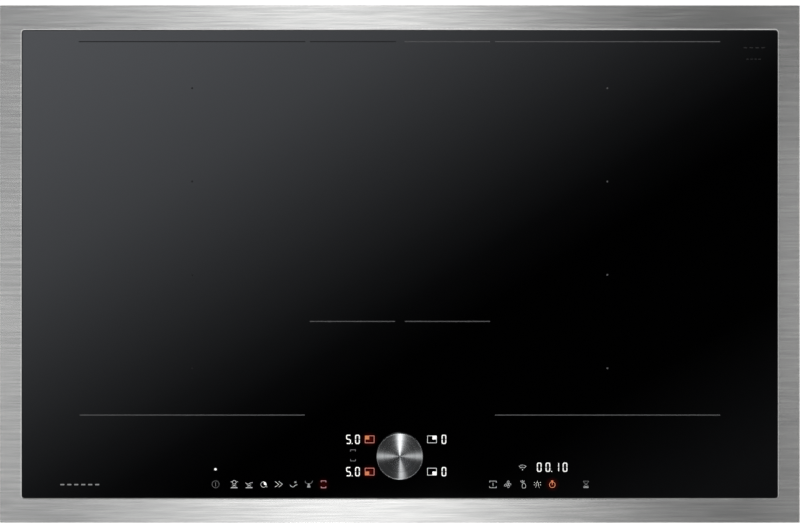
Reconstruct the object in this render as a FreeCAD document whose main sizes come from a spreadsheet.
import FreeCAD, Part
import os
import re
import Sketcher

# Framed induction cooktop, built in millimetres.
# +X runs to the right, +Y to the back, +Z up; the origin is centred under the case.

os.makedirs("parts", exist_ok=True)
doc = FreeCAD.newDocument("InductionCooktop")

SIZES = {
    # steel trim frame and glass
    "trim_length": 804, "trim_depth": 520, "trim_base": 54, "trim_thick": 3,
    "opening_length": 760, "opening_depth": 470.6, "opening_corner": 3,
    "inner_bevel": 1, "outer_bevel": 0.8,
    "glass_length": 759, "glass_depth": 469.6, "glass_top": 56, "glass_thick": 4,
    "glass_corner": 2.5, "glass_bevel": 0.3, "seal_base": 54.2, "seal_thick": 1.4,
    "gasket_length": 800, "gasket_depth": 516, "gasket_width": 8, "gasket_thick": 1,
    # support ring under the glass
    "ring_length": 770, "ring_depth": 486, "ring_base": 50.4, "ledge_top": 51.4,
    "pocket_length": 761, "pocket_depth": 471.6, "ledge_length": 740, "ledge_depth": 456,
    "skirt_length": 765.6, "skirt_depth": 481.6, "skirt_base": 42, "skirt_wall": 2,
    "bond_length": 754, "bond_depth": 467, "bond_width": 3.5,
    # folded steel case
    "case_length": 768, "case_depth": 484, "case_wall": 1, "case_corner": 4,
    "vent_width": 3.2, "vent_length": 58, "vent_pitch": 6.4, "vent_count": 10,
    "outlet_length": 40, "outlet_pitch": 8, "outlet_count": 24, "outlet_row_y": 190,
    "peg_radius": 4, "peg_height": 6, "seam_screw_z": 46, "seam_hole_radius": 2,
    "screw_head_radius": 3.5, "screw_head_height": 2.2, "screw_shank_radius": 1.9,
    "screw_length": 5, "socket_radius": 1.6, "socket_depth": 1.2,
    # cable inlet
    "inlet_height": 20, "inlet_bore": 6.5, "inlet_neck": 9, "inlet_flange": 12.5,
    "inlet_length": 12, "inlet_lip": 2.5, "inlet_groove": 1,
    # plate that carries the coils
    "plate_base": 34, "plate_thick": 1.5, "plate_length": 744, "plate_depth": 382, "plate_y": 39,
    "plate_hole": 20, "pillar_radius": 4, "pillar_hole": 2,
    # sprung coil carriers, formers, windings
    "carrier_base": 38.5, "carrier_thick": 1.5, "carrier_length": 224, "carrier_depth": 378,
    "centre_carrier_length": 184, "centre_carrier_depth": 286,
    "ferrite_base": 40, "ferrite_height": 4, "ferrite_width": 14, "ferrite_length": 30,
    "former_base": 44, "former_thick": 3, "winding_base": 47, "winding_height": 4,
    "coil_length": 212, "coil_width": 86, "coil_bore": 22, "turn_pitch": 4.4, "turn_gap": 1.6,
    "turn_count": 6, "groove_depth": 3.4, "bridge_length": 278, "bridge_width": 84,
    "coil_x": 208.8, "coil_first_y": -104.7, "coil_pitch": 93.9, "bridge_x": 47, "bridge_y": 83,
    "mat_thick": 0.9, "sensor_radius": 4.5, "sensor_height": 4,
    "carrier_spring_width": 10, "arch_crown": 4, "arch_root": 9, "arch_foot": 14, "arch_thick": 0.4,
    # electronics
    "tray_length": 290, "tray_depth": 260, "tray_x": 215, "tray_y": -10, "tray_floor": 2,
    "tray_wall": 1.6, "tray_height": 8, "board_base": 7, "board_thick": 1.6,
    "power_length": 176, "power_depth": 236, "power_x": 262, "board_hole": 2, "board_margin": 6,
    "sink_x": 192, "sink_y": -40, "sink_width": 34, "sink_length": 160, "sink_floor": 3,
    "sink_height": 17, "fin_thick": 1.4, "fin_count": 8,
    "device_width": 16, "device_length": 21, "device_height": 5, "device_pitch": 38,
    "lead_width": 1.2, "lead_length": 9,
    "capacitor_width": 22, "capacitor_length": 34, "capacitor_height": 21, "capacitor_pitch": 30,
    "filter_length": 120, "filter_depth": 150, "filter_y": 115,
    "choke_radius": 15, "choke_core": 6.5,
    "terminal_length": 78, "terminal_depth": 24, "terminal_height": 22, "terminal_y": 211,
    "terminal_well": 3.4, "terminal_pitch": 14,
    # fans
    "fan_x": 118, "fan_y": -60, "fan_side": 84, "fan_base": 3, "fan_height": 22, "fan_bore": 38,
    "fan_hub": 14, "fan_hub_wall": 1.4, "fan_hub_base": 6, "fan_hub_top": 21, "strut_width": 5,
    "strut_height": 1.8, "bearing_radius": 3.5, "bearing_bore": 1.55, "bearing_top": 17,
    "shaft_radius": 1.5, "shaft_base": 6, "stator_radius": 11, "stator_base": 7, "stator_height": 8,
    "blade_reach": 36, "blade_thick": 1.4, "blade_width": 14, "blade_pitch": 42, "blade_count": 7,
    # touch controls under the front of the glass
    "control_y": -193, "control_length": 410, "control_depth": 74, "control_base": 46,
    "cradle_length": 420, "cradle_depth": 80, "cradle_base": 40, "cradle_top": 50, "cradle_floor": 2,
    "cradle_wall": 2, "leg_radius": 4, "guide_length": 400, "guide_depth": 66, "guide_top": 51.6,
    "key_y": -221.5, "key_radius": 3, "key_hole": 3.6, "key_start": -166.4, "key_pitch": 15,
    "first_key": -185, "timer_start": 93.7, "timer_pitch": 14.9, "last_key": 187.2,
    "zone_left_x": -39.5, "zone_left_length": 36, "zone_right_x": 37, "zone_right_length": 28,
    "zone_depth": 50, "clock_x": 145, "clock_y": -204, "clock_length": 56, "clock_depth": 16,
    "display_gap": 0.3, "sensor_ring_outer": 18, "sensor_ring_inner": 12,
    "ribbon_width": 22, "ribbon_thick": 0.6,
    # removable tilting knob
    "knob_y": -192.6, "knob_radius": 23.4, "knob_base": 57.5, "knob_top": 71.5, "knob_edge": 0.7,
    "pivot_height": 63, "foot_radius": 13, "foot_top": 57.2, "post_radius": 4, "post_top": 65.2,
    "pin_radius": 1.2, "pin_bore": 1.25, "foot_pin_reach": 9, "gimbal_bore": 4.7, "gimbal_radius": 10,
    "gimbal_half": 2, "gimbal_pin_reach": 14, "yoke_bore": 10.7, "yoke_radius": 16,
    "yoke_base": 59.6, "yoke_top": 66.6, "cap_bore": 16.06, "cap_ceiling": 67.1,
    "retainer_bore": 13.8, "retainer_base": 58.3, "retainer_thick": 0.9,
    "magnet_inner": 18, "magnet_outer": 21, "magnet_top": 62,
    # sprung leaves on the case sides
    "leaf_y": 120, "leaf_width": 16, "leaf_thick": 0.8, "leaf_pivot_out": 2.5, "leaf_pivot_z": 12,
    "eye_radius": 2.3, "eye_bore": 1.55, "leaf_pin": 1.5, "leaf_crown_out": 6.6, "leaf_crown_z": 38,
    "leaf_tip_out": 3.9, "leaf_tip_z": 46, "bracket_back": 1.2, "bracket_width": 24,
    "bracket_low": 7, "bracket_high": 20, "ear_thick": 2, "ear_reach": 4.7, "ear_half": 4,
}

sheet = doc.addObject("Spreadsheet::Sheet", "dims")
for row, (alias, value) in enumerate(SIZES.items(), start=1):
    sheet.set(f"A{row}", alias)
    sheet.set(f"B{row}", str(value))
    sheet.setAlias(f"B{row}", alias)
doc.recompute()

X_AXIS = FreeCAD.Vector(1, 0, 0)
Y_AXIS = FreeCAD.Vector(0, 1, 0)
Z_AXIS = FreeCAD.Vector(0, 0, 1)


def link(expression):
    """Point every size name in an expression at the sheet."""
    return re.sub(r"[a-z]\w*", lambda word: f"dims.{word[0]}" if word[0] in SIZES else word[0],
                  str(expression))


def size(expression):
    """The number an expression gives with the sheet's present values."""
    return float(sheet.evalExpression(link(expression)))


def bind(item, **properties):
    """Bind plain properties of an object to expressions on the sheet."""
    for name, expression in properties.items():
        item.setExpression(name, link(expression))
    return item


def place(item, x=0, y=0, z=0, axis=Z_AXIS, angle=0):
    """Turn an object, then bind its position to the sheet."""
    item.Placement = FreeCAD.Placement(FreeCAD.Vector(), FreeCAD.Rotation(axis, angle))
    for letter, expression in zip("xyz", (x, y, z)):
        item.setExpression(f"Placement.Base.{letter}", link(expression))
    return item


# ---------------------------------------------------------------- part primitives

def block(name, length, width, height, x, y, z):
    """A box centred on x and y that stands on z."""
    item = bind(doc.addObject("Part::Box", name), Length=length, Width=width, Height=height)
    return place(item, f"({x}) - ({length}) / 2", f"({y}) - ({width}) / 2", z)


def rod(name, radius, height, x, y, z, axis=Z_AXIS, angle=0):
    """A cylinder that starts at a point and runs along its turned axis."""
    item = bind(doc.addObject("Part::Cylinder", name), Radius=radius, Height=height)
    return place(item, x, y, z, axis, angle)


def fuse(name, items):
    item = doc.addObject("Part::MultiFuse", name)
    item.Shapes = items
    item.Refine = True
    return item


def cut(name, base, tool):
    item = doc.addObject("Part::Cut", name)
    item.Base = base
    item.Tool = tool
    return item


def group(name, items):
    """Separate solids kept side by side in one object."""
    item = doc.addObject("Part::Compound", name)
    item.Links = items
    return item


def copy(name, source, x=0, y=0, z=0, axis=Z_AXIS, angle=0):
    """A placed copy of another object."""
    return place(group(name, [source]), x, y, z, axis, angle)


# ---------------------------------------------------------------- sketched bodies

def start_body(name):
    item = doc.addObject("PartDesign::Body", name)
    item.Label = name
    return item


def start_sketch(owner, plane="XY_Plane", offset=0):
    """A sketch on one of the body's own origin planes."""
    item = owner.newObject("Sketcher::SketchObject", f"{owner.Name}_outline")
    support = next(f for f in owner.Origin.OriginFeatures if f.Role == plane)
    item.AttachmentSupport = [(support, "")]
    item.MapMode = "FlatFace"
    item.setExpression("AttachmentOffset.Base.z", link(offset))
    return item


def pin_point(target, geometry, point, x, y):
    """Fix a point of the sketch by two bound distances from its origin."""
    for kind, expression in (("DistanceX", x), ("DistanceY", y)):
        if expression is None:
            continue
        index = target.addConstraint(
            Sketcher.Constraint(kind, -1, 1, geometry, point, size(expression)))
        name = f"{kind[-1]}_{geometry}_{point}"
        target.renameConstraint(index, name)
        target.setExpression(f"Constraints.{name}", link(expression))


def outline(target, points):
    """A closed outline of straight lines through bound points."""
    first = target.GeometryCount
    corners = [FreeCAD.Vector(size(x), size(y), 0) for x, y in points]
    count = len(corners)
    for number in range(count):
        target.addGeometry(Part.LineSegment(corners[number], corners[(number + 1) % count]))
    for number in range(count):
        target.addConstraint(Sketcher.Constraint(
            "Coincident", first + number, 2, first + (number + 1) % count, 1))
    for number, (x, y) in enumerate(points):
        pin_point(target, first + number, 1, x, y)


def rectangle(target, length, depth, x=0, y=0):
    left, right = f"({x}) - ({length}) / 2", f"({x}) + ({length}) / 2"
    front, back = f"({y}) - ({depth}) / 2", f"({y}) + ({depth}) / 2"
    outline(target, [(left, front), (right, front), (right, back), (left, back)])


def circle(target, radius, x=0, y=0):
    number = target.GeometryCount
    centre = FreeCAD.Vector(size(x), size(y), 0)
    target.addGeometry(Part.Circle(centre, Z_AXIS, size(radius)))
    index = target.addConstraint(Sketcher.Constraint("Radius", number, size(radius)))
    target.renameConstraint(index, f"radius_{number}")
    target.setExpression(f"Constraints.radius_{number}", link(radius))
    pin_point(target, number, 3, x, y)


def racetrack(target, length, width):
    """Two straight sides joined by half circles, centred on the sketch."""
    first = target.GeometryCount
    straight = f"(({length}) - ({width})) / 2"
    half = f"({width}) / 2"
    run, rise = size(straight), size(half)
    target.addGeometry(Part.LineSegment(
        FreeCAD.Vector(-run, -rise, 0), FreeCAD.Vector(run, -rise, 0)))
    target.addGeometry(Part.Arc(FreeCAD.Vector(run, -rise, 0), FreeCAD.Vector(run + rise, 0, 0),
                                FreeCAD.Vector(run, rise, 0)))
    target.addGeometry(Part.LineSegment(
        FreeCAD.Vector(run, rise, 0), FreeCAD.Vector(-run, rise, 0)))
    target.addGeometry(Part.Arc(FreeCAD.Vector(-run, rise, 0), FreeCAD.Vector(-run - rise, 0, 0),
                                FreeCAD.Vector(-run, -rise, 0)))
    for number in range(4):
        target.addConstraint(Sketcher.Constraint(
            "Coincident", first + number, 2, first + (number + 1) % 4, 1))
    pin_point(target, first, 1, f"-{straight}", f"-({half})")
    pin_point(target, first, 2, straight, f"-({half})")
    pin_point(target, first + 2, 1, straight, half)
    pin_point(target, first + 2, 2, f"-{straight}", half)
    pin_point(target, first + 1, 3, straight, None)
    pin_point(target, first + 3, 3, f"-{straight}", None)


def pad(owner, profile, length):
    item = owner.newObject("PartDesign::Pad", f"{owner.Name}_pad")
    item.Profile = profile
    bind(item, Length=length)
    return item


def pocket(owner, profile, depth):
    """Cut down from the sketch."""
    item = owner.newObject("PartDesign::Pocket", f"{owner.Name}_pocket")
    item.Profile = profile
    bind(item, Length=depth)
    return item


def through(owner, profile):
    """Cut both ways from the sketch through everything."""
    item = owner.newObject("PartDesign::Pocket", f"{owner.Name}_through")
    item.Profile = profile
    item.Type = "ThroughAll"
    item.Midplane = True
    return item


def revolve(owner, profile):
    """Turn a profile about the upright axis of its sketch."""
    item = owner.newObject("PartDesign::Revolution", f"{owner.Name}_turned")
    item.Profile = profile
    item.ReferenceAxis = (profile, ["V_Axis"])
    item.Angle = 360
    return item


def repeat(owner, feature, direction, pitch, count):
    """Repeat a feature in a straight row along an axis of its sketch."""
    item = owner.newObject("PartDesign::LinearPattern", f"{owner.Name}_row")
    item.Originals = [feature]
    item.Direction = (feature.Profile[0], [direction])
    bind(item, Length=f"({pitch}) * ({count} - 1)", Occurrences=count)
    owner.Tip = item
    return item


def dress(owner, kind, amount, chosen):
    """Round or bevel the edges of a body that pass a test."""
    doc.recompute()
    base = owner.Tip
    names = [f"Edge{n}" for n, edge in enumerate(base.Shape.Edges, start=1) if chosen(edge)]
    item = owner.newObject(f"PartDesign::{kind}", f"{owner.Name}_{kind.lower()}")
    item.Base = (base, names)
    bind(item, **{"Radius" if kind == "Fillet" else "Size": amount})
    return item


def upright(edge):
    box = edge.BoundBox
    return box.ZLength > 0.5 and box.XLength < 0.01 and box.YLength < 0.01


def level_at(height):
    """A test for edges that lie flat at a height."""
    return lambda edge: abs(edge.BoundBox.ZMin - size(height)) < 0.01 and edge.BoundBox.ZLength < 0.01


def inside(length, depth):
    """A test for edges within a rectangle centred on the origin."""
    return lambda edge: (abs(edge.CenterOfMass.x) < size(length) / 2 + 0.5
                         and abs(edge.CenterOfMass.y) < size(depth) / 2 + 0.5)


def ring(name, length, depth, width_x, width_y, base, thick):
    """A flat rectangular ring."""
    owner = start_body(name)
    profile = start_sketch(owner, offset=base)
    rectangle(profile, length, depth)
    rectangle(profile, f"{length} - 2 * ({width_x})", f"{depth} - 2 * ({width_y})")
    pad(owner, profile, thick)
    return owner


SIDES = {"left": -1, "right": 1}


# ---------------------------------------------------------------- frame, glass and case

def make_trim_frame():
    frame = ring("trim_frame", "trim_length", "trim_depth", "(trim_length - opening_length) / 2",
                 "(trim_depth - opening_depth) / 2", "trim_base", "trim_thick")
    near = inside("opening_length", "opening_depth")
    top = level_at("trim_base + trim_thick")
    dress(frame, "Fillet", "opening_corner", lambda edge: upright(edge) and near(edge))
    dress(frame, "Chamfer", "inner_bevel", lambda edge: top(edge) and near(edge))
    dress(frame, "Chamfer", "outer_bevel", lambda edge: top(edge) and not inside(
        "opening_length + 4", "opening_depth + 4")(edge))


def make_glass():
    plate = start_body("glass_plate")
    profile = start_sketch(plate, offset="glass_top - glass_thick")
    rectangle(profile, "glass_length", "glass_depth")
    pad(plate, profile, "glass_thick")
    dress(plate, "Fillet", "glass_corner", upright)
    dress(plate, "Chamfer", "glass_bevel", level_at("glass_top"))
    seal = ring("glass_joint_seal", "opening_length", "opening_depth",
                "(opening_length - glass_length) / 2", "(opening_depth - glass_depth) / 2",
                "seal_base", "seal_thick")
    near = inside("glass_length", "glass_depth")
    outer_corner = lambda edge: upright(edge) and abs(edge.CenterOfMass.x) > size("glass_length") / 2 + 0.2
    dress(seal, "Fillet", "opening_corner", outer_corner)
    dress(seal, "Fillet", "glass_corner", lambda edge: upright(edge) and near(edge)
          and not outer_corner(edge) and abs(edge.CenterOfMass.x) > size("glass_length") / 2 - 0.1)
    ring("worktop_gasket", "gasket_length", "gasket_depth", "gasket_width", "gasket_width",
         "trim_base - gasket_thick", "gasket_thick")
    ring("glass_bond", "bond_length", "bond_depth", "bond_width", "bond_width",
         "ledge_top", "glass_top - glass_thick - ledge_top")


def seam_points():
    """Where the screws cross the front and back walls, and the side walls."""
    long_side = [-300, -100, 100, 300]
    short_side = [-200, 0, 200]
    return long_side, short_side


def drill_seams(owner):
    long_side, short_side = seam_points()
    front = start_sketch(owner, "XZ_Plane")
    for x in long_side:
        circle(front, "seam_hole_radius", x, "seam_screw_z")
    through(owner, front)
    side = start_sketch(owner, "YZ_Plane")
    for y in short_side:
        circle(side, "seam_hole_radius", y, "seam_screw_z")
    through(owner, side)


def make_support_frame():
    frame = start_body("support_frame")
    profile = start_sketch(frame, offset="ring_base")
    rectangle(profile, "ring_length", "ring_depth")
    rectangle(profile, "ledge_length", "ledge_depth")
    pad(frame, profile, "trim_base - ring_base")
    seat = start_sketch(frame, offset="trim_base")
    rectangle(seat, "pocket_length", "pocket_depth")
    pocket(frame, seat, "trim_base - ledge_top")
    skirt = start_sketch(frame, offset="skirt_base")
    rectangle(skirt, "skirt_length", "skirt_depth")
    rectangle(skirt, "skirt_length - 2 * skirt_wall", "skirt_depth - 2 * skirt_wall")
    pad(frame, skirt, "ring_base - skirt_base")
    drill_seams(frame)


def make_case():
    case = start_body("bottom_case")
    profile = start_sketch(case)
    rectangle(profile, "case_length", "case_depth")
    pad(case, profile, "ring_base")
    dress(case, "Fillet", "case_corner", upright)
    hollow = start_sketch(case, offset="ring_base")
    rectangle(hollow, "case_length - 2 * case_wall", "case_depth - 2 * case_wall")
    pocket(case, hollow, "ring_base - case_wall")
    pegs = start_sketch(case, offset="case_wall / 2")
    for x in (-1, 1):
        for y in (-1, 1):
            circle(pegs, "peg_radius", f"{x} * (filter_length / 2 - board_margin)",
                   f"filter_y + {y} * (filter_depth / 2 - board_margin)")
    pad(case, pegs, "case_wall / 2 + peg_height")
    for sign in SIDES.values():
        intake = start_sketch(case, offset="case_wall")
        rectangle(intake, "vent_length", "vent_width", f"{sign} * fan_x",
                  "fan_y - vent_pitch * (vent_count - 1) / 2")
        repeat(case, pocket(case, intake, "case_wall"), "V_Axis", "vent_pitch", "vent_count")
        outlet = start_sketch(case, offset="case_wall")
        first = "tray_x + outlet_pitch * (outlet_count - 1) / 2"
        rectangle(outlet, "vent_width", "outlet_length",
                  f"-({first})" if sign < 0 else "tray_x - outlet_pitch * (outlet_count - 1) / 2",
                  "outlet_row_y")
        repeat(case, pocket(case, outlet, "case_wall"), "H_Axis", "outlet_pitch", "outlet_count")
    drill_seams(case)
    inlet = start_sketch(case, "XZ_Plane", "2 * case_wall - case_depth / 2")
    circle(inlet, "inlet_neck", 0, "inlet_height")
    pocket(case, inlet, "3 * case_wall")


def make_screw(name, length):
    """Pan-head screw: origin under the head, shank down."""
    screw = start_body(name)
    profile = start_sketch(screw, "XZ_Plane")
    outline(profile, [(0, f"-({length})"), ("screw_shank_radius", f"-({length})"),
                      ("screw_shank_radius", 0), ("screw_head_radius", 0),
                      ("screw_head_radius", "screw_head_height - 0.8"),
                      ("screw_head_radius - 0.8", "screw_head_height"),
                      ("socket_radius", "screw_head_height"),
                      ("socket_radius", "screw_head_height - socket_depth"),
                      (0, "screw_head_height - socket_depth")])
    revolve(screw, profile)
    return screw


def make_case_screws(screw):
    long_side, short_side = seam_points()
    items = []
    for x in long_side:
        items.append(copy("seam_front", screw, x, "-case_depth / 2", "seam_screw_z", X_AXIS, 90))
        items.append(copy("seam_back", screw, x, "case_depth / 2", "seam_screw_z", X_AXIS, -90))
    for y in short_side:
        items.append(copy("seam_left", screw, "-case_length / 2", y, "seam_screw_z", Y_AXIS, -90))
        items.append(copy("seam_right", screw, "case_length / 2", y, "seam_screw_z", Y_AXIS, 90))
    group("case_screws", items)


def make_inlet_bush():
    bush = start_body("cable_inlet_bush")
    profile = start_sketch(bush, "XZ_Plane")
    wall_start = "inlet_lip"
    wall_end = "inlet_lip + inlet_groove"
    outline(profile, [("inlet_bore", 0), ("inlet_flange - 0.8", 0), ("inlet_flange", 0.8),
                      ("inlet_flange", wall_start), ("inlet_neck", wall_start),
                      ("inlet_neck", wall_end), ("inlet_flange", wall_end),
                      ("inlet_flange - 2", "inlet_length"), ("inlet_bore", "inlet_length")])
    revolve(bush, profile)
    place(bush, 0, "case_depth / 2 + inlet_lip", "inlet_height", X_AXIS, 90)


# ---------------------------------------------------------------- coil deck

def pillar_points():
    points = [(sign * 366, y) for sign in (-1, 1) for y in (-140, 40, 220)]
    return points + [(-66, 220), (66, 220), (0, -140), (0, 20)]


def coil_points():
    """Centres of the eight short coils."""
    return [(f"{sign} * coil_x", f"coil_first_y + {step} * coil_pitch")
            for sign in (-1, 1) for step in range(4)]


def make_coil_deck(screw):
    plate = start_body("coil_support_plate")
    profile = start_sketch(plate, offset="plate_base")
    rectangle(profile, "plate_length", "plate_depth", 0, "plate_y")
    for x, y in pillar_points():
        circle(profile, "pillar_hole", x, y)
    for x, y in coil_points():
        circle(profile, "plate_hole", x, y)
    pad(plate, profile, "plate_thick")

    pillar = start_body("pillar")
    section = start_sketch(pillar, offset="case_wall")
    circle(section, "pillar_radius")
    pad(pillar, section, "plate_base - case_wall")
    tapped = start_sketch(pillar, offset="plate_base")
    circle(tapped, "pillar_hole")
    pocket(pillar, tapped, "screw_length * 2")
    group("support_pillars", [copy("pillar_at", pillar, x, y) for x, y in pillar_points()])
    return [copy("deck_screw", screw, x, y, "plate_base + plate_thick") for x, y in pillar_points()]


def make_carrier(name, length, depth, x, y, windows):
    carrier = start_body(name)
    profile = start_sketch(carrier, offset="carrier_base")
    rectangle(profile, length, depth, x, y)
    for window_x, window_y in windows:
        circle(profile, "coil_bore / 2", window_x, window_y)
    pad(carrier, profile, "carrier_thick")
    dress(carrier, "Fillet", 6, upright)


def make_coil(name, length, width):
    """Flat oval winding with a groove between neighbouring turns."""
    winding = start_body(name)
    profile = start_sketch(winding)
    racetrack(profile, length, width)
    racetrack(profile, f"{length} - {width} + coil_bore", "coil_bore")
    pad(winding, profile, "winding_height")
    grooves = start_sketch(winding, offset="winding_height")
    for turn in range(1, int(size("turn_count"))):
        inset = f"2 * {turn} * turn_pitch"
        racetrack(grooves, f"{length} - {inset}", f"{width} - {inset}")
        racetrack(grooves, f"{length} - {inset} - 2 * turn_gap", f"{width} - {inset} - 2 * turn_gap")
    pocket(winding, grooves, "groove_depth")
    return winding


def make_former(name, length, width):
    former = start_body(name)
    profile = start_sketch(former)
    racetrack(profile, length, width)
    pad(former, profile, "former_thick")
    return former


def make_ferrites(name, length, count):
    """Rows of ferrite bars that lie under one coil."""
    bars = []
    for row in (-1, 1):
        for step in range(count):
            x = f"({step} - {(count - 1) / 2}) * ({length} - 2 * ferrite_width) / {count}"
            bars.append(block("ferrite_bar", "ferrite_width", "ferrite_length", "ferrite_height",
                              x, f"{row} * 24", 0))
    return group(name, bars)


def make_carrier_spring():
    """Arched leaf that stands on two feet, centred on its own origin."""
    spring = start_body("carrier_spring")
    profile = start_sketch(spring, "XZ_Plane", "-carrier_spring_width / 2")
    top = "carrier_base - plate_base - plate_thick"
    right = [("arch_crown", f"{top} - arch_thick"), ("arch_root", 0), ("arch_foot", 0),
             ("arch_foot", "arch_thick"), ("arch_root + 0.1", "arch_thick"),
             ("arch_crown + 0.1", top)]
    left = [(f"-({x})", z) for x, z in reversed(right)]
    outline(profile, right + left)
    pad(spring, profile, "carrier_spring_width")
    return spring


def make_coils():
    for side, sign in SIDES.items():
        points = [(x, y) for x, y in coil_points() if x.startswith(f"{sign} ")]
        make_carrier(f"{side}_coil_carrier", "carrier_length", "carrier_depth",
                     f"{sign} * coil_x", "coil_first_y + 1.5 * coil_pitch", points)
    ends = [(f"{sign} * bridge_x", "bridge_y") for sign in SIDES.values()]
    make_carrier("centre_coil_carrier", "centre_carrier_length", "centre_carrier_depth",
                 0, "bridge_y", ends)

    short_coil = make_coil("short_winding", "coil_length", "coil_width")
    long_coil = make_coil("long_winding", "bridge_length", "bridge_width")
    short_former = make_former("short_former", "coil_length", "coil_width")
    long_former = make_former("long_former", "bridge_length", "bridge_width")
    short_bars = make_ferrites("short_bars", "coil_length", 6)
    long_bars = make_ferrites("long_bars", "bridge_length", 8)

    formers, bars, sensors = [], [], []
    for x, y in coil_points():
        formers.append(copy("former_at", short_former, x, y, "former_base"))
        bars.append(copy("bars_at", short_bars, x, y, "ferrite_base"))
        sensors.append(rod("sensor_at", "sensor_radius", "sensor_height", x, y, "winding_base"))
    for side, sign in SIDES.items():
        x = f"{sign} * bridge_x"
        formers.append(copy("former_at", long_former, x, "bridge_y", "former_base", Z_AXIS, 90))
        bars.append(copy("bars_at", long_bars, x, "bridge_y", "ferrite_base", Z_AXIS, 90))
        sensors.append(rod("sensor_at", "sensor_radius", "sensor_height", x, "bridge_y",
                           "winding_base"))
        copy(f"centre_coil_{side}", long_coil, x, "bridge_y", "winding_base", Z_AXIS, 90)
        group(f"{side}_coil_windings", [
            copy("winding_at", short_coil, px, py, "winding_base")
            for px, py in coil_points() if px.startswith(f"{sign} ")])
    group("coil_formers", formers)
    group("ferrite_bars", bars)
    group("temperature_sensors", sensors)

    mat_base = "winding_base + winding_height"
    middle_y = "coil_first_y + 1.5 * coil_pitch"
    group("insulation_mats", [
        block("left_mat", "carrier_length", "carrier_depth", "mat_thick", "-coil_x", middle_y, mat_base),
        block("right_mat", "carrier_length", "carrier_depth", "mat_thick", "coil_x", middle_y, mat_base),
        block("centre_mat", "centre_carrier_length", "centre_carrier_depth", "mat_thick", 0,
              "bridge_y", mat_base)])

    spring = make_carrier_spring()
    corners = [(x, y) for x in (-1, 1) for y in (-1, 1)]
    springs = []
    for sign in SIDES.values():
        for x, y in corners:
            springs.append(copy("spring_at", spring,
                                f"{sign} * coil_x + {x} * (carrier_length / 2 - 20)",
                                f"{middle_y} + {y} * (carrier_depth / 2 - 16)",
                                "plate_base + plate_thick"))
    for x, y in corners:
        springs.append(copy("spring_at", spring, f"{x} * (centre_carrier_length / 2 - 20)",
                            f"bridge_y + {y} * (centre_carrier_depth / 2 - 16)",
                            "plate_base + plate_thick"))
    group("carrier_springs", springs)


# ---------------------------------------------------------------- power electronics

def board_corners(x, y, length, depth):
    return [(f"({x}) + {i} * (({length}) / 2 - board_margin)",
             f"({y}) + {j} * (({depth}) / 2 - board_margin)") for i in (-1, 1) for j in (-1, 1)]


def make_board(name, length, depth, x, y, base):
    board = start_body(name)
    profile = start_sketch(board, offset=base)
    rectangle(profile, length, depth, x, y)
    for hole_x, hole_y in board_corners(x, y, length, depth):
        circle(profile, "board_hole", hole_x, hole_y)
    pad(board, profile, "board_thick")


def make_tray(side, sign):
    tray = start_body(f"{side}_electronics_tray")
    centre = f"{sign} * tray_x"
    profile = start_sketch(tray, offset="case_wall")
    rectangle(profile, "tray_length", "tray_depth", centre, "tray_y")
    pad(tray, profile, "tray_height")
    hollow = start_sketch(tray, offset="case_wall + tray_height")
    rectangle(hollow, "tray_length - 2 * tray_wall", "tray_depth - 2 * tray_wall", centre, "tray_y")
    pocket(tray, hollow, "tray_height - tray_floor")
    pegs = start_sketch(tray, offset="case_wall + tray_floor / 2")
    for x, y in board_corners(f"{sign} * power_x", "tray_y", "power_length", "power_depth"):
        circle(pegs, "peg_radius", x, y)
    pad(tray, pegs, "board_base - case_wall - tray_floor / 2")
    tapped = start_sketch(tray, offset="board_base")
    for x, y in board_corners(f"{sign} * power_x", "tray_y", "power_length", "power_depth"):
        circle(tapped, "screw_shank_radius", x, y)
    pocket(tray, tapped, "screw_length")
    intake = start_sketch(tray, offset="case_wall + tray_floor")
    circle(intake, "fan_bore", f"{sign} * fan_x", "fan_y")
    pocket(tray, intake, "tray_floor")


def make_heatsink():
    """Finned aluminium bar that runs along Y, centred on its foot."""
    sink = start_body("heatsink")
    foot = start_sketch(sink)
    rectangle(foot, "sink_width", "sink_length")
    pad(sink, foot, "sink_floor")
    fin = start_sketch(sink, offset="sink_floor / 2")
    rectangle(fin, "fin_thick", "sink_length", "-sink_width / 2 + fin_thick / 2")
    first = pad(sink, fin, "sink_height - sink_floor / 2")
    repeat(sink, first, "H_Axis", "(sink_width - fin_thick) / (fin_count - 1)", "fin_count")
    return sink


def make_transistor():
    """Flat power transistor with three bent leads, on its back."""
    pieces = [block("device_case", "device_width", "device_length", "device_height", 0, 0, 0)]
    for step in (-1, 0, 1):
        x = f"{step} * device_width / 3"
        pieces.append(block("device_lead", "lead_width", "lead_length", "lead_width / 2", x,
                            "device_length / 2 + lead_length / 2", "device_height / 2"))
        pieces.append(block("device_foot", "lead_width", "lead_width / 2", "device_height / 2", x,
                            "device_length / 2 + lead_length - lead_width / 4", 0))
    return fuse("transistor", pieces)


def make_capacitor():
    body = start_body("capacitor")
    profile = start_sketch(body)
    rectangle(profile, "capacitor_width", "capacitor_length")
    pad(body, profile, "capacitor_height")
    dress(body, "Fillet", 2, upright)
    return body


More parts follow.
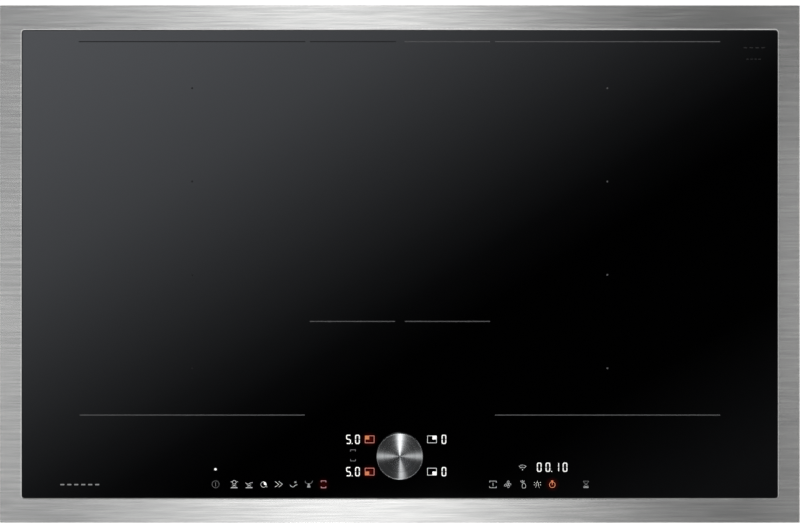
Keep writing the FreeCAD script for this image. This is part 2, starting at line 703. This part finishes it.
def make_power_electronics(screw):
    sink, transistor, capacitor = make_heatsink(), make_transistor(), make_capacitor()
    top = "board_base + board_thick"
    transistors, capacitors = [], []
    for side, sign in SIDES.items():
        make_tray(side, sign)
        make_board(f"{side}_power_board", "power_length", "power_depth", f"{sign} * power_x",
                   "tray_y", "board_base")
        copy(f"{side}_heatsink", sink, f"{sign} * sink_x", "sink_y", f"{top} + device_height")
        for step in range(4):
            transistors.append(copy("transistor_at", transistor, f"{sign} * sink_x",
                                    f"sink_y + {step - 1.5} * device_pitch - 4", top))
        for column in range(4):
            for line in (0, 1):
                capacitors.append(copy("capacitor_at", capacitor,
                                       f"{sign} * (power_x + 60 - {column} * capacitor_pitch)",
                                       f"70 - {line} * 50", top))
    group("power_transistors", transistors)
    group("resonant_capacitors", capacitors)

    make_board("filter_board", "filter_length", "filter_depth", 0, "filter_y", "board_base")
    chokes = []
    for x in (-1, 1):
        for y in (-1, 1):
            choke = bind(doc.addObject("Part::Torus", "choke_at"), Radius1="choke_radius",
                         Radius2="choke_core")
            chokes.append(place(choke, f"{x} * 28", f"filter_y + {y} * 34", f"{top} + choke_core"))
    group("filter_chokes", chokes)

    terminal = start_body("mains_terminal_block")
    profile = start_sketch(terminal, offset="case_wall")
    rectangle(profile, "terminal_length", "terminal_depth", 0, "terminal_y")
    pad(terminal, profile, "terminal_height")
    step_cut = start_sketch(terminal, offset="case_wall + terminal_height")
    rectangle(step_cut, "terminal_length", "terminal_depth / 3", 0,
              "terminal_y + terminal_depth / 3")
    pocket(terminal, step_cut, "terminal_height / 3")
    well = start_sketch(terminal, offset="case_wall + terminal_height")
    circle(well, "terminal_well", "-2 * terminal_pitch", "terminal_y - 3")
    repeat(terminal, pocket(terminal, well, "terminal_height / 2"), "H_Axis", "terminal_pitch", 5)

    points = []
    for sign in SIDES.values():
        points += board_corners(f"{sign} * power_x", "tray_y", "power_length", "power_depth")
    return [copy("board_screw", screw, x, y, top) for x, y in points]


# ---------------------------------------------------------------- cooling fans

def make_fan_frame():
    """Square fan frame with a bearing tube on four struts, centred on its floor."""
    frame = start_body("fan_frame")
    profile = start_sketch(frame)
    rectangle(profile, "fan_side", "fan_side")
    circle(profile, "fan_bore")
    pad(frame, profile, "fan_height")
    floor = start_sketch(frame)
    circle(floor, "fan_hub")
    pad(frame, floor, "strut_height")
    for length, depth in (("2 * fan_bore + 2", "strut_width"), ("strut_width", "2 * fan_bore + 2")):
        strut = start_sketch(frame)
        rectangle(strut, length, depth)
        pad(frame, strut, "strut_height")
    tube = start_sketch(frame)
    circle(tube, "bearing_radius")
    pad(frame, tube, "bearing_top - fan_base")
    bore = start_sketch(frame, offset="bearing_top - fan_base")
    circle(bore, "bearing_bore")
    pocket(frame, bore, "bearing_top - fan_base - strut_height / 2")
    return frame


def make_rotor():
    """Cup hub, shaft and pitched blades, at heights above the frame floor."""
    hub = start_body("rotor_hub")
    profile = start_sketch(hub, "XZ_Plane")
    low, high = "fan_hub_base - fan_base", "fan_hub_top - fan_base"
    inner_top = f"{high} - fan_hub_wall"
    shaft_low = "shaft_base - fan_base"
    outline(profile, [(0, shaft_low), ("shaft_radius", shaft_low), ("shaft_radius", inner_top),
                      ("fan_hub - fan_hub_wall", inner_top), ("fan_hub - fan_hub_wall", low),
                      ("fan_hub", low), ("fan_hub", high), (0, high)])
    revolve(hub, profile)
    pieces = [hub]
    middle = f"({low} + {high}) / 2 + 1"
    reach = "blade_reach - fan_hub + fan_hub_wall / 2"
    pitch = FreeCAD.Rotation(X_AXIS, size("blade_pitch"))
    for number in range(int(size("blade_count"))):
        turn = FreeCAD.Rotation(Z_AXIS, 360 * number / size("blade_count"))
        spin = turn.multiply(pitch)
        blade = bind(doc.addObject("Part::Box", "blade"), Length=reach, Width="blade_width",
                     Height="blade_thick")
        inner = FreeCAD.Vector(size("fan_hub - fan_hub_wall / 2"), 0, 0)
        across = FreeCAD.Vector(0, -size("blade_width") / 2, -size("blade_thick") / 2)
        start = turn.multVec(inner) + spin.multVec(across) + Z_AXIS * size(middle)
        blade.Placement = FreeCAD.Placement(start, spin)
        pieces.append(blade)
    return fuse("rotor", pieces)


def make_fans():
    frame, rotor = make_fan_frame(), make_rotor()
    stators = []
    for side, sign in SIDES.items():
        x = f"{sign} * fan_x"
        copy(f"{side}_fan_housing", frame, x, "fan_y", "fan_base")
        copy(f"{side}_fan_rotor", rotor, x, "fan_y", "fan_base")
        core = rod("stator_core", "stator_radius", "stator_height", x, "fan_y", "stator_base")
        tube = rod("stator_bore", "bearing_radius", "stator_height", x, "fan_y", "stator_base")
        stators.append(cut("stator", core, tube))
    group("fan_stators", stators)


# ---------------------------------------------------------------- touch controls

def key_points():
    left = ["first_key"] + [f"key_start + {step} * key_pitch" for step in range(7)]
    right = [f"timer_start + {step} * timer_pitch" for step in range(5)] + ["last_key"]
    return left + right


def display_panels():
    """Centre and size of each lit panel."""
    return [("zone_left_x", "knob_y", "zone_left_length", "zone_depth"),
            ("zone_right_x", "knob_y", "zone_right_length", "zone_depth"),
            ("clock_x", "clock_y", "clock_length", "clock_depth")]


def make_controls():
    cradle = start_body("control_tray")
    profile = start_sketch(cradle, offset="cradle_base")
    rectangle(profile, "cradle_length", "cradle_depth", 0, "control_y")
    pad(cradle, profile, "cradle_top - cradle_base")
    hollow = start_sketch(cradle, offset="cradle_top")
    rectangle(hollow, "cradle_length - 2 * cradle_wall", "cradle_depth - 2 * cradle_wall", 0,
              "control_y")
    pocket(cradle, hollow, "cradle_top - cradle_base - cradle_floor")
    pegs = start_sketch(cradle, offset="cradle_base + cradle_floor / 2")
    for x, y in board_corners(0, "control_y", "control_length", "control_depth"):
        circle(pegs, "peg_radius", x, y)
    pad(cradle, pegs, "control_base - cradle_base - cradle_floor / 2")
    legs = start_sketch(cradle, offset="case_wall")
    for x in (-1, 1):
        for y in (-1, 1):
            circle(legs, "leg_radius", f"{x} * (cradle_length / 2 - 12)", f"control_y + {y} * 26")
    pad(cradle, legs, "cradle_base + cradle_floor / 2 - case_wall")
    slit = start_sketch(cradle, offset="cradle_base + cradle_floor")
    rectangle(slit, "ribbon_width + 2", 5, 70, "control_y + 20")
    pocket(cradle, slit, "cradle_floor")

    make_board("control_board", "control_length", "control_depth", 0, "control_y", "control_base")

    top = "control_base + board_thick"
    guide = start_body("light_guide_frame")
    plate = start_sketch(guide, offset=top)
    rectangle(plate, "guide_length", "guide_depth", 0, "control_y")
    for x, y, length, depth in display_panels():
        rectangle(plate, f"{length} + 2 * display_gap", f"{depth} + 2 * display_gap", x, y)
    circle(plate, "sensor_ring_outer + display_gap", 0, "knob_y")
    for x in key_points():
        circle(plate, "key_hole", x, "key_y")
    pad(guide, plate, f"guide_top - ({top})")

    panels = [block("panel", length, depth, f"guide_top - ({top})", x, y, top)
              for x, y, length, depth in display_panels()]
    group("display_modules", panels)

    sensor = start_body("knob_sensor_ring")
    section = start_sketch(sensor, offset=top)
    circle(section, "sensor_ring_outer", 0, "knob_y")
    circle(section, "sensor_ring_inner", 0, "knob_y")
    pad(sensor, section, f"guide_top - ({top})")

    spring = start_body("key_spring")
    shape = start_sketch(spring, "XZ_Plane")
    key_top = f"glass_top - glass_thick - ({top})"
    outline(shape, [(0, 0), ("key_radius * 0.6", 0), ("key_radius * 0.6", f"({key_top}) * 0.6"),
                    ("key_radius", f"({key_top}) * 0.8"), ("key_radius", key_top), (0, key_top)])
    revolve(spring, shape)
    group("touch_key_springs", [copy("key_at", spring, x, "key_y", top) for x in key_points()])

    ribbon = start_body("control_ribbon")
    bend = start_sketch(ribbon, "YZ_Plane", "70 - ribbon_width / 2")
    upper, lower = "control_base", "board_base + board_thick + 2"
    start, end = "control_y + 20", "control_y + 90"
    outline(bend, [(start, upper), (f"{start} - ribbon_thick", upper),
                   (f"{start} - ribbon_thick", f"{lower} + 6"), (f"{start} + 6", lower),
                   (end, lower), (end, f"{lower} + ribbon_thick"),
                   (f"{start} + 6.3", f"{lower} + ribbon_thick"), (start, f"{lower} + 6.3")])
    pad(ribbon, bend, "ribbon_width")


# ---------------------------------------------------------------- tilting knob

def turned(name, points):
    """A round piece on the knob's axis, from its half section."""
    item = start_body(name)
    profile = start_sketch(item, "XZ_Plane")
    outline(profile, points)
    revolve(item, profile)
    return place(item, 0, "knob_y", 0)


def cross_rod(name, radius, reach, axis):
    """A rod through the knob's pivot point, along X or Y."""
    if axis == "X":
        return rod(name, radius, f"2 * ({reach})", f"-({reach})", "knob_y", "pivot_height",
                   Y_AXIS, 90)
    return rod(name, radius, f"2 * ({reach})", 0, f"knob_y + {reach}", "pivot_height", X_AXIS, 90)


def make_knob():
    base = turned("foot_blank", [
        (0, "glass_top"), ("foot_radius", "glass_top"), ("foot_radius", "foot_top - 0.4"),
        ("foot_radius - 0.4", "foot_top"), ("post_radius", "foot_top"), ("post_radius", "post_top"),
        (0, "post_top")])
    fuse("knob_foot", [base, cross_rod("foot_pins", "pin_radius", "foot_pin_reach", "X")])

    low, high = "pivot_height - gimbal_half", "pivot_height + gimbal_half"
    blank = turned("gimbal_blank", [("gimbal_bore", low), ("gimbal_radius", low),
                                    ("gimbal_radius", high), ("gimbal_bore", high)])
    pins = cross_rod("gimbal_pins", "pin_radius", "gimbal_pin_reach", "Y")
    core = rod("gimbal_core", "gimbal_bore", "2 * gimbal_half", 0, "knob_y", low)
    outer_pins = cut("gimbal_outer_pins", pins, core)
    bores = cross_rod("gimbal_bores", "pin_bore", "gimbal_radius + 1", "X")
    cut("knob_rocker", fuse("gimbal_ring", [blank, outer_pins]), bores)

    yoke = turned("yoke_blank", [("yoke_bore", "yoke_base"), ("yoke_radius", "yoke_base"),
                                 ("yoke_radius", "yoke_top"), ("yoke_bore", "yoke_top")])
    cut("knob_yoke", yoke, cross_rod("yoke_bores", "pin_bore", "yoke_radius + 1", "Y"))

    turned("knob_cap", [
        ("cap_bore", "knob_base"), ("magnet_inner", "knob_base"), ("magnet_inner", "magnet_top"),
        ("magnet_outer", "magnet_top"), ("magnet_outer", "knob_base"),
        ("knob_radius - knob_edge", "knob_base"), ("knob_radius", "knob_base + knob_edge"),
        ("knob_radius", "knob_top - knob_edge"), ("knob_radius - knob_edge", "knob_top"),
        (0, "knob_top"), (0, "cap_ceiling"), ("cap_bore", "cap_ceiling")])
    turned("knob_magnet_ring", [
        ("magnet_inner", "knob_base + 0.2"), ("magnet_outer", "knob_base + 0.2"),
        ("magnet_outer", "magnet_top"), ("magnet_inner", "magnet_top")])
    turned("knob_retainer", [
        ("retainer_bore", "retainer_base"), ("cap_bore", "retainer_base"),
        ("cap_bore", "retainer_base + retainer_thick"),
        ("retainer_bore", "retainer_base + retainer_thick")])


# ---------------------------------------------------------------- retaining leaves

def make_leaf():
    """Sprung leaf: origin at its pivot, outward is +X, width centred on Y."""
    leaf = start_body("leaf_strip")
    profile = start_sketch(leaf, "XZ_Plane", "-leaf_width / 2")
    crown_x, crown_z = "leaf_crown_out - leaf_pivot_out", "leaf_crown_z - leaf_pivot_z"
    tip_x, tip_z = "leaf_tip_out - leaf_pivot_out", "leaf_tip_z - leaf_pivot_z"
    root = "(eye_radius + eye_bore) / 2"
    outline(profile, [
        ("-leaf_thick / 2", root), ("leaf_thick / 2", root),
        (crown_x, f"{crown_z} - 1"), (crown_x, f"{crown_z} + 1"), (tip_x, tip_z),
        (f"{tip_x} - leaf_thick", tip_z), (f"{crown_x} - leaf_thick", f"{crown_z} + 0.8"),
        (f"{crown_x} - leaf_thick", f"{crown_z} - 0.8")])
    pad(leaf, profile, "leaf_width")
    outer = rod("leaf_eye_outer", "eye_radius", "leaf_width", 0, "leaf_width / 2", 0, X_AXIS, 90)
    bore = rod("leaf_eye_bore", "eye_bore", "leaf_width + 2", 0, "leaf_width / 2 + 1", 0, X_AXIS, 90)
    return cut("leaf", fuse("leaf_blank", [leaf, outer]), bore)


def make_bracket():
    """Clip that holds one leaf: origin on the wall at the leaf's pivot height."""
    low = "bracket_low - leaf_pivot_z"
    back = block("bracket_plate", "bracket_back", "bracket_width", "bracket_high - bracket_low",
                 "bracket_back / 2", 0, low)
    pieces = [back]
    for sign in (-1, 1):
        pieces.append(block("bracket_ear", "ear_reach", "ear_thick", "2 * ear_half", "ear_reach / 2",
                            f"{sign} * (leaf_width / 2 + 0.4 + ear_thick / 2)", "-ear_half"))
    pieces.append(rod("bracket_pin", "leaf_pin", "leaf_width + 2 * ear_thick", "leaf_pivot_out",
                      "leaf_width / 2 + ear_thick", 0, X_AXIS, 90))
    relief = rod("bracket_relief", "eye_radius + 0.3", "leaf_width + 0.8", "leaf_pivot_out",
                 "leaf_width / 2 + 0.4", 0, X_AXIS, 90)
    plate = cut("relieved_plate", back, relief)
    return fuse("bracket", [plate] + pieces[1:])


def make_leaves():
    leaf, bracket = make_leaf(), make_bracket()
    brackets = []
    for side, sign in SIDES.items():
        for end, along in (("front", -1), ("back", 1)):
            turn = 0 if sign > 0 else 180
            copy(f"{side}_{end}_leaf", leaf, f"{sign} * (case_length / 2 + leaf_pivot_out)",
                 f"{along} * leaf_y", "leaf_pivot_z", Z_AXIS, turn)
            brackets.append(copy("bracket_at", bracket, f"{sign} * case_length / 2",
                                 f"{along} * leaf_y", "leaf_pivot_z", Z_AXIS, turn))
    group("leaf_brackets", brackets)


# ---------------------------------------------------------------- build and export

make_trim_frame()
make_glass()
make_support_frame()
make_case()
make_inlet_bush()
pan_screw = make_screw("pan_screw", "screw_length")
make_case_screws(pan_screw)
deck_screws = make_coil_deck(pan_screw)
make_coils()
board_screws = make_power_electronics(make_screw("board_fastener", "screw_length - 0.6"))
group("inner_screws", deck_screws + board_screws)
make_fans()
make_controls()
make_knob()
make_leaves()
doc.recompute()

NODES = [
    "trim_frame", "glass_plate", "glass_joint_seal", "worktop_gasket", "glass_bond",
    "support_frame", "bottom_case", "case_screws", "cable_inlet_bush",
    "coil_support_plate", "support_pillars", "inner_screws",
    "left_coil_carrier", "right_coil_carrier", "centre_coil_carrier", "carrier_springs",
    "coil_formers", "ferrite_bars", "left_coil_windings", "right_coil_windings",
    "centre_coil_left", "centre_coil_right", "temperature_sensors", "insulation_mats",
    "left_electronics_tray", "right_electronics_tray", "left_power_board", "right_power_board",
    "left_heatsink", "right_heatsink", "power_transistors", "resonant_capacitors",
    "filter_board", "filter_chokes", "mains_terminal_block",
    "left_fan_housing", "right_fan_housing", "fan_stators", "left_fan_rotor", "right_fan_rotor",
    "control_tray", "control_board", "light_guide_frame", "display_modules",
    "knob_sensor_ring", "touch_key_springs", "control_ribbon",
    "knob_foot", "knob_rocker", "knob_yoke", "knob_magnet_ring", "knob_retainer", "knob_cap",
    "leaf_brackets", "left_front_leaf", "left_back_leaf", "right_front_leaf", "right_back_leaf",
]

for item in doc.Objects:
    if "Invalid" in item.State or "Error" in item.State:
        raise RuntimeError(f"{item.Name} did not recompute: {item.State}")

for node in NODES:
    item = doc.getObject(node)
    item.Label = node
    if item.Shape.isNull() or not item.Shape.isValid():
        raise RuntimeError(f"{node} has no valid shape")
    item.Shape.exportStep(f"parts/{node}.step")
    box = item.Shape.BoundBox
    print(f"{node}: {len(item.Shape.Solids)} solids, {item.Shape.Volume / 1000:.1f} cm3, "
          f"z {box.ZMin:.2f} to {box.ZMax:.2f}")
